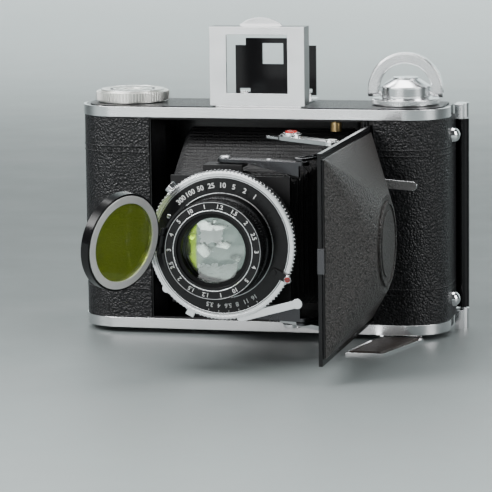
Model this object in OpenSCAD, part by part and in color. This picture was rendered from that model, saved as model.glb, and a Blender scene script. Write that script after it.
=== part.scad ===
// Vertical-format folding camera for roll film, standing open with its filter swung aside.
// Frame: +X right as seen from the front, +Y towards the back, +Z up.
// The origin is the tripod socket in the middle of the base plate.

/* [Body] */
// Width of the body across the chrome rims
body_w = 128; // [128:1:132]
// Depth of the body with its back closed
body_d = 34; // [34:0.5:36]
// Height of the body across the chrome rims
body_h = 76; // [76:0.5:78]
// Radius of the front corners in plan
corner_r = 14; // [12:0.5:14]
// Radius of the back corners in plan
back_corner_r = 9; // [7:0.5:9]
// Thickness of the pressed metal walls
wall = 1.2; // [1:0.1:1.2]
// Height of each chrome rim
rim_h = 3.4; // [3.2:0.1:3.4]
// Thickness of the leather covering
skin = 0.6; // [0.4:0.1:0.6]

/* [Film] */
// Distance of each spool's axis from the middle
spool_x = 48; // [48:0.1:48.4]
// Radius of the spool flanges
flange_r = 12.2; // [11.5:0.1:12.3]
// Length of a spool
spool_len = 66; // [64:0.5:66]
// Side of the square picture gate
gate = 56; // [54:0.5:56]

/* [Door] */
// Distance from the hinge axis to the free edge
door_len = 79.8; // [78:0.1:80]
// How far the raised middle stands out from the lip
door_rise = 12.1; // [11:0.1:13]
// Radius of the round boss in the middle
disc_r = 13.8; // [12:0.1:14]

/* [Lens and shutter] */
// Height of the lens axis
lens_z = 37; // [36.5:0.1:37.5]
// Radius of the shutter's speed ring
speed_r = 24; // [23.5:0.1:24]
// Radius of the name ring around the lens
ring_r = 16; // [15.5:0.1:16]
// Radius of the clear front glass
glass_r = 10.6; // [10:0.1:10.7]
// Angle at which the filter stands open
filter_open = 118; // [90:1:120]

/* [Finder] */
// Width of the front frame
finder_w = 32.8; // [32:0.1:33]
// Height of the front frame above the base plate
finder_h = 26.6; // [26:0.1:27]

/* [Winding knob] */
// Radius of the knob's flange
knob_r = 11.3; // [11:0.1:11.5]
// Outer radius of the folding bail
bail_r = 12.8; // [12.6:0.1:12.8]

/* [Foot] */
// Length of the fold-out foot from its hinge
foot_len = 30; // [28:0.5:30]

/* [Hidden] */
$fn = 64;

// Planes and clearances of the body
front_y = -body_d / 2;
back_y = body_d / 2;
side_x = body_w / 2;
split_y = -2;
gap = 0.3;
fit = 0.05;
plate = 3.2;
top_z = body_h - plate;
ground_z = -1.8;
skin_in = 0.3;
wall_in = skin_in + skin;
spool_y = 1;
spool_z = (body_h - spool_len) / 2;

// Front opening, bellows chamber and the plane of the picture gate
opening_left = -37;
opening_right = 40.2;
opening_low = 4;
opening_high = 72;
chamber_x = 33.4;
gate_y = 9.4;

// Door hinge axis, the door's edges and the thickness and depth of its sheet
door_x = 37.2;
door_y = -16.2;
door_low = 4.2;
door_high = 71;
door_in = 1.1;
door_sheet = 1.2;
lip = 2.6;
knuckle_r = 1.4;
pin_r = 0.7;

// Axis of the back hinge
hinge_x = 65.5;
hinge_y = 13;

// Planes of the lens panel, shutter face and name ring
plate_y = -54;
housing_r = 22;
face_y = -66;
ring_y = -78;

// Struts, side links and stays: pivots, lengths and the angles they take with the door open
strut_z = 62;
strut_a = [-3, -48];
strut_len = 27.7;
strut_turn = -12.5;
link_p = [34, -30];
link_len = 26;
link_turn = -112.6;
stay_p = [31.2, -41.6];
stay_len = 31;
stay_turn = 143.5;
stay_z = 67.1;
button_at = 20;

// Heights of the release lever, of the bail's centre and of the bail's pins
lever_z = 52.7;
bail_z = 81.3;
bail_pin_z = 80.4;

// Where the filter's hinge sits round the lens, its distance from the filter's middle, and its plane
filter_at = 170;
filter_arm = 17;
filter_y = -78.4;

// ---- Shared shapes ----

// The body in plan, drawn inwards by an inset
module plan(inset) {
    w = side_x - inset;
    for (s = [-1, 1]) {
        translate([s * (side_x - corner_r), front_y + corner_r]) circle(r = corner_r - inset);
        translate([s * (side_x - back_corner_r), back_y - back_corner_r])
            circle(r = back_corner_r - inset);
    }
    translate([corner_r - side_x, front_y + inset]) square([body_w - 2 * corner_r, corner_r]);
    translate([-w, front_y + corner_r]) square([2 * w, body_d - corner_r - back_corner_r]);
    translate([back_corner_r - side_x, 0]) square([body_w - 2 * back_corner_r, back_y - inset]);
}

// A hollow band that follows the plan between two insets
module band(outer, inner, low, high) {
    translate([0, 0, low]) linear_extrude(high - low) difference() {
        plan(outer);
        plan(inner);
    }
}

// A block of space between two limits in X and in Y, tall enough to pass through the whole camera
module region(x_min, x_max, y_min, y_max, low = -20, high = 120) {
    translate([x_min, y_min, low]) cube([x_max - x_min, y_max - y_min, high - low]);
}

// A block given by its two opposite corners
module block(a, b) {
    translate(a) cube(b - a);
}

// An upright round bar
module post(x, y, r, low, high) {
    translate([x, y, low]) cylinder(r = r, h = high - low);
}

// A disc or bar around the lens axis, from y0 back to y1
module lens_bar(r, y0, y1) {
    translate([0, y0, lens_z]) rotate([-90, 0, 0]) cylinder(r = r, h = y1 - y0);
}

// A tube around the lens axis
module lens_tube(r_out, r_in, y0, y1) {
    difference() {
        lens_bar(r_out, y0, y1);
        lens_bar(r_in, y0 - 1, y1 + 1);
    }
}

// Places something at an angle round the lens, its own X pointing outwards
module round_lens(angle, r, y) {
    translate([0, y, lens_z]) rotate([0, -angle, 0]) translate([r, 0, 0]) children();
}

// A flat bar with round ends, from the origin along X
module strap(len, w, t) {
    linear_extrude(t) {
        circle(r = w / 2);
        translate([len, 0]) circle(r = w / 2);
        translate([0, -w / 2]) square([len, w]);
    }
}

// Frame of the door: X runs from the hinge to the free edge, Y outwards
module on_door() {
    translate([door_x, door_y, 0]) rotate([0, 0, -90]) children();
}

// Upper parts repeated upside down below the lens axis
module below() {
    translate([0, 0, 2 * lens_z]) mirror([0, 0, 1]) children();
}

// ---- Body ----

module body_shell() {
    color("#1b1b1d") difference() {
        union() {
            translate([0, 0, top_z]) linear_extrude(plate) plan(wall_in);
            linear_extrude(plate) plan(wall_in);
            difference() {
                band(wall_in, wall_in + wall, 1, top_z + 1);
                region(-side_x, 0, split_y, side_x);
                region(0, side_x, hinge_y - 3, side_x);
                region(opening_left, opening_right, -side_x, 0, opening_low, opening_high);
            }
            for (s = [-1, 1]) chamber_wall(s);
            block([-chamber_x - wall, gate_y, 1], [chamber_x + wall, gate_y + wall, top_z + 1]);
            for (z = [[rim_h + 0.1, 7.2], [68.8, top_z - 0.1]]) {
                post(door_x, door_y, knuckle_r, z[0], z[1]);
                block([door_x, door_y + 0.1, z[0]], [opening_right + 1, door_y + 1.2, z[1]]);
            }
        }
        cover_space();
        block([-gate / 2, gate_y - 1, lens_z - gate / 2], [gate / 2, gate_y + 3, lens_z + gate / 2]);
        post(door_x, door_y, pin_r, rim_h, top_z);
        for (s = [-1, 1]) post(s * spool_x, spool_y, 2.6, -1, body_h + 1);
        post(0, 0, 7, -1, plate + 1);
        post(27, -14, 0.9, 71, 74.2);
    }
}

// Wall between the bellows chamber and a spool, flaring to the opening at the front
module chamber_wall(s) {
    edge = s < 0 ? -opening_left : opening_right;
    translate([0, 0, 1]) linear_extrude(top_z) mirror([s < 0 ? 1 : 0, 0]) polygon([
        [edge, front_y + wall_in], [edge + wall, front_y + wall_in], [edge + wall, -14.5],
        [chamber_x + wall, -10], [chamber_x + wall, gate_y + wall], [chamber_x, gate_y + wall],
        [chamber_x, -10.5], [edge, -15]
    ]);
}

// Room kept free for the back cover's walls and its latch
module cover_space() {
    difference() {
        region(-side_x - 1, side_x + 9, split_y, back_y + 1, -1, body_h + 1);
        translate([0, 0, -2]) linear_extrude(body_h + 4) difference() {
            plan(wall + gap + 0.2);
            translate([hinge_x, hinge_y]) circle(r = 3);
        }
        region(0, side_x - skin_in, split_y - 1, hinge_y - 3, -1, body_h + 1);
    }
}

module chrome_rims() {
    color("#c9ccd0") for (low = [0, body_h - rim_h + 0.2]) difference() {
        band(0, wall_in, low, low + rim_h);
        region(-side_x - 1, side_x + 1, split_y, back_y + 1);
    }
}

module top_leather() {
    color("#232325") difference() {
        translate([0, 0, body_h]) linear_extrude(0.4) intersection() {
            plan(2.4);
            translate([-side_x, front_y]) square([body_w, body_d - 5]);
        }
        for (s = [-1, 1]) post(s * spool_x, spool_y, 4, 70, 80);
        block([-15.4, front_y - 1, 70], [15.4, back_y + 1, 80]);
    }
}

// Leather round one end of the body: from x_front on the face to y_back on the end
module panel_leather(s, x_front, y_back) {
    x = side_x - wall_in;
    r = corner_r - wall_in;
    color("#232325") translate([0, 0, rim_h + 0.1]) linear_extrude(body_h - 2 * rim_h) {
        intersection() {
            translate([s * (side_x - corner_r), front_y + corner_r]) difference() {
                circle(r = r + skin);
                circle(r = r);
            }
            translate([s > 0 ? side_x - corner_r : -side_x, front_y]) square(corner_r);
        }
        translate([s > 0 ? x : -x - skin, front_y + corner_r]) square([skin, y_back - front_y - corner_r]);
        translate([s > 0 ? x_front : corner_r - side_x, front_y + skin_in])
            square([side_x - corner_r - x_front, skin]);
    }
}

module left_leather() {
    panel_leather(-1, 0.6 - opening_left, split_y);
}

module right_leather() {
    panel_leather(1, opening_right, hinge_y - 3);
}

module base_leather() {
    color("#232325") difference() {
        translate([0, 0, -0.4]) linear_extrude(0.4) intersection() {
            plan(2.4);
            translate([-side_x, front_y]) square([body_w, body_d - 5]);
        }
        block([34, front_y - 1, -1], [59, back_y, 1]);
        post(0, 0, 7, -1, 1);
        post(-spool_x, spool_y, 5.4, -1, 1);
    }
}

module film_gate_frame() {
    w = gate / 2;
    color("#3a3b3e") difference() {
        block([-w - 3, gate_y + wall, lens_z - w - 3], [w + 3, gate_y + wall + 1.2, lens_z + w + 3]);
        block([-w, 0, lens_z - w], [w, 20, lens_z + w]);
    }
}

module back_hinge_lugs() {
    color("#c9ccd0") for (z = [[ground_z, 5], [71, body_h]]) difference() {
        union() {
            post(hinge_x, hinge_y, 2.2, z[0], z[1]);
            block([side_x - skin_in, hinge_y - 6, z[0]], [hinge_x + 1, hinge_y, z[1]]);
        }
        post(hinge_x, hinge_y, 0.9, 1, 73);
    }
}

module back_hinge_pin() {
    color("#b9bcc1") post(hinge_x, hinge_y, 0.9, 1, 73);
}

module door_hinge_pin() {
    color("#b9bcc1") post(door_x, door_y, pin_r, rim_h + 0.1, top_z - 0.1);
}

module tripod_socket() {
    color("#b9bcc1") difference() {
        union() {
            post(0, 0, 7, 0, plate);
            post(0, 0, 5, plate, 6.5);
        }
        post(0, 0, 3.18, -1, 5.5);
    }
}

module strap_studs() {
    color("#c9ccd0") for (z = [9.7, 66]) difference() {
        translate([side_x - 0.5, 3, z]) sphere(r = 2.8);
        region(0, side_x - skin_in, -20, 20);
    }
}

// Pull-out knob under the base that holds the full spool
module spool_retainer() {
    color("#c9ccd0") {
        post(-spool_x, spool_y, 5, ground_z, -0.4);
        post(-spool_x, spool_y, 2.55, -0.4, 8);
    }
}

module brass_roller() {
    color("#a98a4b") {
        post(27, -14, 1.9, 68.6, 71.7);
        post(27, -14, 0.9, 71.7, 74.2);
    }
}

module finder_base() {
    color("#c9ccd0") {
        block([-14.8, -13.4, body_h], [14.8, 15, body_h + 1]);
        for (y = [-8.5, 14]) hinge_eyes(y);
    }
}

// Pair of upright ears that carry a finder hinge
module hinge_eyes(y) {
    for (s = [-1, 1]) difference() {
        block([s * 11 - 1.5, y - 1, body_h + 1], [s * 11 + 1.5, y + 1, body_h + 3.2]);
        translate([s * 11 - 3, y, body_h + 2.2]) rotate([0, 90, 0]) cylinder(r = 0.55, h = 6);
    }
}

module bellows_block(inset) {
    hull() {
        block([inset - 31, gate_y - 0.5, lens_z - 30 + inset], [31 - inset, gate_y, lens_z + 30 - inset]);
        block([inset - 20, plate_y + 1.5, lens_z - 21 + inset],
              [20 - inset, plate_y + 2, lens_z + 21 - inset]);
    }
}

module bellows() {
    color("#141416") difference() {
        bellows_block(0);
        bellows_block(2.4);
        block([-28, gate_y - 2, lens_z - 27], [28, gate_y + 1, lens_z + 27]);
        block([-17, plate_y, lens_z - 18], [17, plate_y + 5, lens_z + 18]);
    }
}

// ---- Back ----

module back_cover() {
    color("#1b1b1d") difference() {
        union() {
            difference() {
                band(0, wall, 0.3, body_h - 0.3);
                region(-side_x - 1, side_x + 1, front_y - 1, split_y + gap);
                region(0, side_x + 1, front_y - 1, back_y - wall - 0.1);
                region(side_x - 4, side_x + 1, 0, back_y + 1);
            }
            post(hinge_x, hinge_y, 2.2, 5.4, 70.6);
            translate([hinge_x, hinge_y, 5.4]) rotate([0, 0, 142])
                translate([0, 0.9, 0]) cube([6.6, 1.3, 65.2]);
        }
        post(hinge_x, hinge_y, 0.95, 0, body_h);
        for (z = [30, 46]) translate([-side_x - 1, 6.5, z]) rotate([0, 90, 0]) cylinder(r = 0.8, h = 6);
        translate([-20, back_y + 1, lens_z]) rotate([90, 0, 0]) cylinder(r = 4, h = 4);
    }
}

module back_leather() {
    color("#232325") difference() {
        block([-52, back_y, 4], [52, back_y + skin, body_h - 4]);
        block([-28, back_y - 1, 29], [0, back_y + 1, 45]);
    }
}

// Sprung plate that presses the film flat, on two spring pads
module pressure_plate() {
    color("#2c2c2e") {
        block([-32, 12.9, 5], [32, 13.9, 69]);
        for (z = [22, 52]) block([-12, 13.9, z - 3], [12, back_y - wall, z + 3]);
    }
}

module window_cover() {
    color("#3a3b3e") {
        block([-26, back_y + 0.3, 31], [-14, back_y + 1.1, 43]);
        block([-21, back_y + 1.1, 33], [-19, back_y + 2, 41]);
    }
}

module back_latch() {
    color("#a98a4b") {
        block([-side_x - 1.3, 4, 27], [-side_x - 0.3, 9, 49]);
        block([-side_x - 2.3, 5, 36], [-side_x - 1.3, 8, 40]);
    }
}

// ---- Door ----

// Outside of the door's raised middle, as a solid that stands back by an inset
module door_bulge(inset) {
    low = door_in + door_sheet - inset;
    middle = door_len / 2 + 0.5;
    hull() {
        block([1.4 + lip + inset, low - 0.1, door_low + lip + inset],
              [door_len - lip - inset, low, door_high - lip - inset]);
        translate([middle, low, lens_z + 0.4]) rotate([-90, 0, 0])
            cylinder(r = disc_r + 1.5 - inset, h = door_rise, $fn = 32);
    }
}

module door_panel() {
    color("#161618") on_door() difference() {
        union() {
            block([1.4, door_in, door_low], [door_len, door_in + door_sheet, door_high]);
            door_bulge(0);
            post(0, 0, knuckle_r, 7.6, 68.4);
            block([0, 0, 7.6], [2.4, door_in + 0.6, 68.4]);
        }
        door_bulge(1.4);
        post(0, 0, pin_r + fit, 0, body_h);
        block([1.4 + lip + 1.4, -1, door_low + lip + 1.4],
              [door_len - lip - 1.4, door_in + 1, door_high - lip - 1.4]);
    }
}

// Leather on the raised middle, on top of the pressed sheet
module door_leather() {
    color("#2c2b2b") on_door() difference() {
        door_bulge(-skin);
        door_bulge(0);
        block([-1, -5, 0], [door_len + 1, door_in + door_sheet, body_h]);
        block([5, 0, 50], [11, 9, 57.6]);
    }
}

module door_disc() {
    low = door_in + door_sheet + door_rise + skin;
    color("#222222") on_door() translate([door_len / 2 + 0.5, low, lens_z + 0.4]) rotate([-90, 0, 0])
        difference() {
            cylinder(r = disc_r, h = 0.8);
            translate([0, 0, 0.4]) difference() {
                cylinder(r = disc_r - 1, h = 1);
                translate([0, 0, -1]) cylinder(r = disc_r - 3, h = 3);
            }
        }
}

// Angle brackets behind the lip that carry the stays and the side links
module door_brackets() {
    color("#2a2a2c") {
        bracket();
        below() bracket();
        release_ears();
    }
}

module bracket() {
    on_door() {
        difference() {
            union() {
                block([21, 0.1, 65], [30, door_in, 70.4]);
                block([22.4, -8.6, stay_z - 1.4], [28.4, 0.1, stay_z - 0.3]);
            }
            post(door_y - stay_p[1], stay_p[0] - door_x, 1.2, 60, 70);
        }
        difference() {
            union() {
                block([11, 0.1, 64.9], [17, door_in, 70.4]);
                block([11.4, -5.4, 64.9], [16.2, 0.1, 66]);
            }
            post(door_y - link_p[1], link_p[0] - door_x, 1, 60, 70);
        }
    }
}

module door_catch() {
    color("#b9bcc1") on_door() {
        block([door_len, door_in, 33.5], [door_len + 1, door_in + 2.2, 41.5]);
        block([door_len - 1.5, door_in + door_sheet, 33.5], [door_len, door_in + 2.2, 41.5]);
    }
}

// Body release on the door, a round-ended lever that pivots on two ears
module release_lever() {
    color("#c9ccd0") on_door() translate([6.2, 7.4, lever_z]) rotate([0, 90, 0]) rotate([0, 0, 86])
        difference() {
            strap(10.5, 3, 3);
            translate([0, 0, -1]) cylinder(r = 0.7, h = 6);
        }
}

// Ears and pin of the release lever
module release_ears() {
    on_door() {
        difference() {
            for (a = [5.2, 9.5]) block([a, 2.5, lever_z - 2.5], [a + 0.7, 8.8, lever_z + 2.5]);
            door_bulge(0);
        }
        translate([5.2, 7.4, lever_z]) rotate([0, 90, 0]) cylinder(r = 0.65, h = 5);
    }
}

// ---- Stays, links and struts ----

// Chromed stay with a rivet at the door and a tongue that runs along the chamber
module stay() {
    color("#c9ccd0") {
        translate([stay_p[0], stay_p[1], stay_z]) rotate([0, 0, stay_turn]) {
            strap(stay_len - 8, 5, 1.4);
            strap(stay_len, 2.8, 0.8);
            translate([button_at, 0, 1.4]) difference() {
                union() {
                    cylinder(r = 3.5, h = 0.8);
                    cylinder(r = 2.8, h = 1.3);
                }
                translate([0, 0, -1]) cylinder(r = 2.1, h = 4);
            }
        }
        post(stay_p[0], stay_p[1], 1.15, stay_z - 1.4, stay_z);
        post(stay_p[0], stay_p[1], 1.9, stay_z + 1.4, stay_z + 1.9);
    }
}

module stays() {
    stay();
    below() stay();
}

// Red button that unlocks the stay when the camera is folded
module fold_button() {
    color("#b3261e") translate([stay_p[0], stay_p[1], stay_z + 2.25]) rotate([0, 0, stay_turn])
        translate([button_at, 0, 0]) cylinder(r = 1.95, h = 1);
}

// Side link between the door and a strut, with a long slot for the strut's stud
module link() {
    color("#2a2a2c") {
        translate([link_p[0], link_p[1], 63.6]) rotate([0, 0, link_turn]) difference() {
            strap(link_len, 4.6, 0.8);
            translate([8, 0, -1]) strap(link_len - 8, 2.6, 3);
        }
        post(link_p[0], link_p[1], 0.95, 64.4, 66);
    }
}

module side_links() {
    link();
    below() link();
}

// Strut from the front standard to the side link, with a turned-down edge
module strut() {
    color("#1f1f21") translate([strut_a[0], strut_a[1], strut_z]) rotate([0, 0, strut_turn]) {
        difference() {
            strap(strut_len, 5, 1.2);
            translate([0, 0, -1]) cylinder(r = 1.3, h = 4);
        }
        translate([0, -1.5, 0]) rotate([90, 0, 0]) linear_extrude(1)
            polygon([[9, 0], [strut_len, 0], [strut_len, -3.6]]);
    }
}

module struts() {
    strut();
    below() strut();
}

// ---- Front standard and shutter ----

module standard_tab() {
    block([-9, plate_y, 58], [4, plate_y + 1.5, 61.6]);
    block([-9, plate_y, 60.6], [4, -45.5, 61.6]);
    post(strut_a[0], strut_a[1], 1.25, 61.6, 63.2);
}

module front_standard() {
    color("#1f1f21") difference() {
        union() {
            lens_bar(22.5, plate_y, plate_y + 1.5);
            block([-20, plate_y, 16], [20, plate_y + 1.5, 58]);
            standard_tab();
            below() standard_tab();
        }
        lens_bar(12, plate_y - 1, plate_y + 3);
    }
}

module shutter_housing() {
    color("#1f1f21") {
        lens_tube(housing_r, housing_r - 1.4, face_y, plate_y);
        lens_tube(housing_r - 1.4, 12.4, face_y, face_y + 1.2);
    }
}

// Black face with engraved scale marks round the lens
module shutter_face() {
    color("#1f1f21") difference() {
        lens_tube(housing_r - 0.1, ring_r + 0.9, face_y - 0.6, face_y);
        for (i = [0 : 10]) round_lens(20 + i * 14, 18, face_y - 1)
            translate([0, 0, -0.25]) cube([2, 0.7, 0.5]);
    }
}

module speed_ring() {
    color("#c9ccd0") {
        lens_tube(speed_r, housing_r + fit, face_y - 0.4, face_y + 3.4);
        round_lens(218, speed_r - 0.4, face_y) rotate([-90, 0, 0]) cylinder(r = 1.5, h = 2.6);
    }
}

module aperture_lever() {
    color("#c9ccd0") {
        lens_tube(housing_r + 1.2, housing_r + fit, face_y + 6.8, face_y + 8);
        round_lens(-118, housing_r + 0.8, face_y + 6.8) translate([0, 0, -1.4]) cube([5, 1.2, 2.8]);
    }
}

module cocking_lever() {
    color("#c9ccd0") {
        lens_tube(housing_r + 1.3, housing_r + fit, face_y + 4.2, face_y + 5.6);
        translate([5, face_y + 5.6, lens_z - 24.3]) rotate([0, -15.2, 0]) rotate([90, 0, 0])
            strap(19.6, 2.6, 1.4);
        translate([23.9, face_y + 5.6, lens_z - 19.1]) rotate([90, 0, 0]) cylinder(r = 1.7, h = 2);
    }
}

module self_timer_lever() {
    color("#c9ccd0") round_lens(-25, 19.2, face_y - 1.7) {
        rotate([-90, 0, 0]) strap(5.4, 2.6, 0.8);
        rotate([90, 0, 0]) cylinder(r = 1, h = 0.4);
    }
}

module cable_socket() {
    color("#c9ccd0") round_lens(138, housing_r, face_y + 9.8) rotate([0, 90, 0]) difference() {
        union() {
            cylinder(r = 1.7, h = 2);
            translate([0, 0, 1.3]) cylinder(r = 2.1, h = 3.3);
        }
        translate([0, 0, 0.6]) cylinder(r = 1.2, h = 6);
    }
}

module shutter_blades() {
    color("#3a3b3e") for (y = [face_y + 6, face_y + 8.6]) difference() {
        lens_tube(19, y > face_y + 7 ? 6 : 9.2, y, y + 0.3);
        for (i = [0 : 4]) round_lens(i * 72, 10, y - 1) cube([12, 3, 0.1]);
    }
}

// Threaded tubes that hold the glass in front of and behind the shutter
module lens_barrels() {
    color("#2c2c2e") {
        lens_tube(12.35, 11, ring_y + 4, face_y + 4);
        lens_tube(11.95, 9.4, plate_y - 2, plate_y + 8);
        lens_tube(13.4, 11.9, plate_y - 2, plate_y - 0.1);
    }
}

// A lens with one domed face, its rim at y0 and its dome standing towards +Y or -Y
module lens(r, rim, rise, y0, facing) {
    steps = 8;
    ball = (r * r + rise * rise) / (2 * rise);
    half = asin(r / ball);
    dome = [for (i = [0 : steps - 1]) let (a = half * (1 - i / steps))
        [ball * sin(a), rim + rise - ball * (1 - cos(a))]];
    translate([0, y0, lens_z]) rotate([facing > 0 ? -90 : 90, 0, 0]) rotate_extrude()
        polygon(concat([[0, 0], [r, 0]], dome, [[0, rim + rise]]));
}

module rear_element() {
    color("#b9c9c4") lens(9.35, 2, 2, plate_y + 3, 1);
}

module focus_ring() {
    color("#c9ccd0") {
        lens_tube(ring_r + 0.2, 12.45, face_y - 7, face_y - 0.9);
        lens_tube(ring_r, 12.45, ring_y + 2, face_y - 7);
    }
}

module name_ring() {
    color("#161618") difference() {
        lens_bar(ring_r, ring_y, ring_y + 2);
        lens_bar(glass_r + 1.4, ring_y - 1, ring_y + 0.9);
        lens_bar(glass_r + 0.02, ring_y - 1, ring_y + 3);
    }
}

module front_element() {
    color("#b9c9c4") lens(glass_r, 1.2, 2.2, ring_y + 3.7, -1);
}

// ---- Swing-aside filter ----

// Carries the filter from its place over the lens out to where it stands open
module filter_swing() {
    h = [filter_arm * cos(filter_at), filter_y, lens_z + filter_arm * sin(filter_at)];
    translate(h) rotate([0, 180 - filter_at, 0]) rotate([0, 0, -filter_open]) translate([filter_arm, 0, 0])
        children();
}

// Spring clip that grips the left of the name ring and carries the filter's hinge
module filter_clip() {
    color("#1f1f21") {
        difference() {
            lens_tube(ring_r + 1.1, ring_r + gap, ring_y + 0.8, ring_y + 4.6);
            for (a = [-125, 125]) translate([0, ring_y - 1, lens_z]) rotate([0, -a, 0])
                translate([-40, 0, a > 0 ? -40 : 0]) cube([80, 8, 40]);
        }
        for (z = [-4.2, 2.4]) round_lens(filter_at, filter_arm, filter_y) {
            translate([-0.5, 0, z]) cube([1, 1.4, 1.8]);
            translate([0, 0, z]) cylinder(r = 0.75, h = 1.8);
        }
        round_lens(filter_at, filter_arm, filter_y) translate([0, 0, -4.2]) cylinder(r = 0.4, h = 8.4);
    }
}

module filter_ring() {
    color("#1f1f21") filter_swing() {
        rotate([90, 0, 0]) difference() {
            translate([0, 0, 0.4]) cylinder(r = 15.9, h = 3.2);
            translate([0, 0, -1]) cylinder(r = 13, h = 6);
            translate([0, 0, -0.1]) cylinder(r = 15.2, h = 0.8);
        }
        difference() {
            union() {
                translate([-filter_arm, 0, -1.9]) cylinder(r = 0.95, h = 3.8);
                translate([-filter_arm, -1.6, -1.9]) cube([1.6, 1.2, 3.8]);
                translate([-filter_arm, -1.6, -1.9]) cube([0.9, 1.6, 3.8]);
            }
            translate([-filter_arm, 0, -4]) cylinder(r = 0.45, h = 8);
        }
    }
}

module filter_retainer() {
    color("#c9ccd0") filter_swing() rotate([90, 0, 0]) difference() {
        translate([0, 0, 0.1]) cylinder(r = 15.2, h = 0.6);
        translate([0, 0, -1]) cylinder(r = 12.8, h = 3);
    }
}

module filter_glass() {
    color("#9aa63a") filter_swing() rotate([90, 0, 0]) translate([0, 0, 0.8]) cylinder(r = 13, h = 1.8);
}

// ---- Finder ----

module finder_front_frame() {
    w = finder_w / 2;
    low = body_h + 0.9;
    win = [-10.6, 10.6, 81, 100.9];
    color("#c9ccd0") difference() {
        union() {
            block([-w, -14.8, low], [w, -13.8, low + finder_h]);
            for (s = [-1, 1]) translate([s * (w - 0.5) - 0.5, -14, low + 0.6]) cube([1, 7, finder_h - 0.6]);
            block([-w, -14, low + finder_h - 1], [w, -7, low + finder_h]);
            translate([0, -7, low + finder_h - 8.8]) rotate([90, 0, 0]) difference() {
                cylinder(r = 11.5, h = 1);
                translate([-20, -20, -1]) cube([40, 27.8, 4]);
            }
            for (s = [-1, 1]) translate([s * 14.4 - 1.8, -8.5, body_h + 2.2]) rotate([0, 90, 0])
                cylinder(r = 0.9, h = 3.6);
            translate([-w, -8.5, body_h + 2.2]) rotate([0, 90, 0]) cylinder(r = 0.5, h = 2 * w);
        }
        block([win[0], -16, win[2]], [win[1], -12, win[3]]);
    }
}

module finder_rear_plate() {
    color("#c9ccd0") {
        difference() {
            block([-14.3, 13.4, body_h + 1.9], [14.3, 14.4, 97.5]);
            block([-4.7, 12, 88.5], [2.7, 16, 95.7]);
            for (s = [-1, 1]) {
                block([s * 11 - 1.9, 12, body_h], [s * 11 + 1.9, 16, body_h + 4]);
                block([s * 12.6 - 2, 12, 95], [s * 12.6 + 2, 16, 98]);
            }
        }
        translate([-14.3, 14, body_h + 2.2]) rotate([0, 90, 0]) cylinder(r = 0.5, h = 28.6);
    }
}

// ---- Winding knob, dial and spools ----

module wind_knob() {
    color("#c9ccd0") translate([spool_x, spool_y, 0]) {
        post(0, 0, knob_r, body_h + 0.7, body_h + 2.6);
        post(0, 0, 8.4, body_h + 2.6, body_h + 6.8);
        translate([0, 0, body_h + 6.8]) cylinder(r1 = 8.4, r2 = 5, h = 2.2);
        post(0, 0, 4.4, body_h + 9, body_h + 9.7);
        post(0, 0, 2.55, 65, body_h + 0.7);
        for (s = [-1, 1]) translate([s * 10.2 - 2.5, 0, bail_pin_z]) rotate([0, 90, 0])
            cylinder(r = 0.8, h = 5);
    }
}

module wind_bail() {
    color("#c9ccd0") translate([spool_x, spool_y, bail_z]) difference() {
        union() {
            rotate([90, 0, 0]) translate([0, 0, -1.5]) difference() {
                cylinder(r = bail_r, h = 3);
                translate([0, 0, -1]) cylinder(r = 9.1, h = 5);
                translate([-20, -20, -1]) cube([40, 20, 5]);
            }
            for (s = [-1, 1]) {
                block([s * 10.95 - 1.85, -1.5, bail_pin_z - bail_z], [s * 10.95 + 1.85, 1.5, 0]);
                translate([s * 10.95 - 1.85, 0, bail_pin_z - bail_z]) rotate([0, 90, 0])
                    cylinder(r = 1.5, h = 3.7);
            }
        }
        translate([-20, 0, bail_pin_z - bail_z]) rotate([0, 90, 0]) cylinder(r = 0.85, h = 40);
    }
}

module spool() {
    color("#2c2c2e") difference() {
        union() {
            post(0, 0, flange_r, spool_z, spool_z + 0.9);
            post(0, 0, flange_r, body_h - spool_z - 0.9, body_h - spool_z);
            post(0, 0, 5.5, spool_z, body_h - spool_z);
        }
        post(0, 0, 2.6, 0, body_h);
    }
}

module take_up_spool() {
    translate([spool_x, spool_y, 0]) spool();
}

module supply_spool() {
    translate([-spool_x, spool_y, 0]) spool();
}

module film_roll() {
    color("#a8322c") difference() {
        post(-spool_x, spool_y, 10.6, spool_z + 1.1, body_h - spool_z - 1.1);
        post(-spool_x, spool_y, 5.6, 0, body_h);
    }
}

module film_dial() {
    color("#c9ccd0") translate([-spool_x, spool_y, 0]) difference() {
        union() {
            post(0, 0, 12.2, body_h + 0.7, body_h + 4.2);
            post(0, 0, 11, body_h + 4.2, body_h + 4.7);
            post(0, 0, 2.55, 68, body_h + 0.7);
        }
        for (i = [0 : 11]) rotate([0, 0, i * 30]) translate([8.2, -0.25, body_h + 4.4]) cube([2, 0.5, 1]);
        post(0, 0, 3.4, body_h + 4.4, body_h + 6);
    }
}

// ---- Foot ----

module foot_outline(inset, start) {
    polygon([
        [41 + inset, front_y + 2.5 - start], [57 - inset, front_y + 2.5 - start],
        [49 - inset, front_y + 2.5 - foot_len + inset], [36 + inset, front_y + 2.5 - foot_len + inset]
    ]);
}

module foot_plate() {
    color("#c9ccd0") difference() {
        union() {
            translate([0, 0, ground_z]) linear_extrude(0.8) foot_outline(0, 1.6);
            translate([46.4, front_y + 2.5, ground_z + 0.75]) rotate([0, 90, 0])
                cylinder(r = 0.75, h = 5.2);
            block([46.4, front_y + 0.7, ground_z], [51.6, front_y + 2.5, ground_z + 0.8]);
        }
        translate([30, front_y + 2.5, ground_z + 0.75]) rotate([0, 90, 0]) cylinder(r = 0.4, h = 40);
    }
}

module foot_leather() {
    color("#33251d") translate([0, 0, ground_z + 0.8]) linear_extrude(0.4) foot_outline(1.4, 3);
}

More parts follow.
